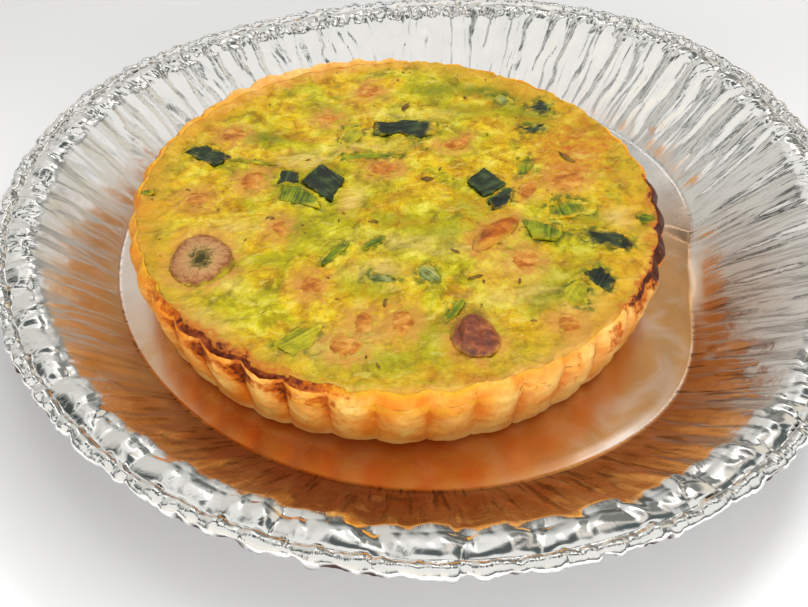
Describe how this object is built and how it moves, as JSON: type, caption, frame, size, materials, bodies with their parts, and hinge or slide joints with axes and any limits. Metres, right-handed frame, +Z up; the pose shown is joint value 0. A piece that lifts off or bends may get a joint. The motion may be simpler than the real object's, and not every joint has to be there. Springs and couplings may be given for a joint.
{
  "type": "quiche in a foil pan",
  "caption": "Round open quiche with a fluted pastry case and a leek and ham filling, standing in a wide crinkled foil pan.",
  "frame": {"origin": "centre of the pan's flat underside, on the table", "axes": "+Z up, +Y towards the far side of the pan, +X to the right; the quiche stands slightly left of and in front of the centre"},
  "size_m": [0.2415, 0.2465, 0.0285],
  "materials": {
    "foil": "bright crinkled sheet",
    "pastry": "matte baked",
    "filling": "moist",
    "leek_dark": "moist",
    "leek_green": "moist",
    "leek_olive": "moist",
    "ham": "moist",
    "mushroom": "moist",
    "sausage": "moist"
  },
  "bodies": {
    "root": {"filling": "filling", "foil_tray": "foil", "ham_piece_01": "ham", "ham_piece_02": "ham", "ham_piece_03": "ham", "ham_piece_04": "ham", "ham_piece_05": "ham", "ham_piece_06": "ham", "ham_piece_07": "ham", "ham_piece_08": "ham", "ham_piece_09": "ham", "ham_piece_10": "ham", "ham_piece_11": "ham", "ham_piece_12": "ham", "ham_piece_13": "ham", "ham_piece_14": "ham", "ham_piece_15": "ham", "ham_piece_16": "ham", "ham_strip": "ham", "leek_leaf_01": "leek_dark", "leek_leaf_02": "leek_dark", "leek_leaf_03": "leek_green", "leek_leaf_04": "leek_dark", "leek_leaf_05": "leek_dark", "leek_leaf_06": "leek_dark", "leek_leaf_07": "leek_dark", "leek_leaf_08": "leek_green", "leek_leaf_09": "leek_dark", "leek_leaf_10": "leek_dark", "leek_leaf_11": "leek_olive", "leek_leaf_12": "leek_dark", "leek_leaf_13": "leek_dark", "leek_leaf_14": "leek_green", "leek_leaf_15": "leek_green", "leek_leaf_16": "leek_green", "leek_leaf_17": "leek_green", "leek_leaf_18": "leek_olive", "leek_leaf_19": "leek_olive", "leek_leaf_20": "leek_green", "leek_leaf_21": "leek_olive", "mushroom_slice": "mushroom", "pastry_case": "pastry", "sausage_chunk": "sausage"}
  },
  "joints": []
}
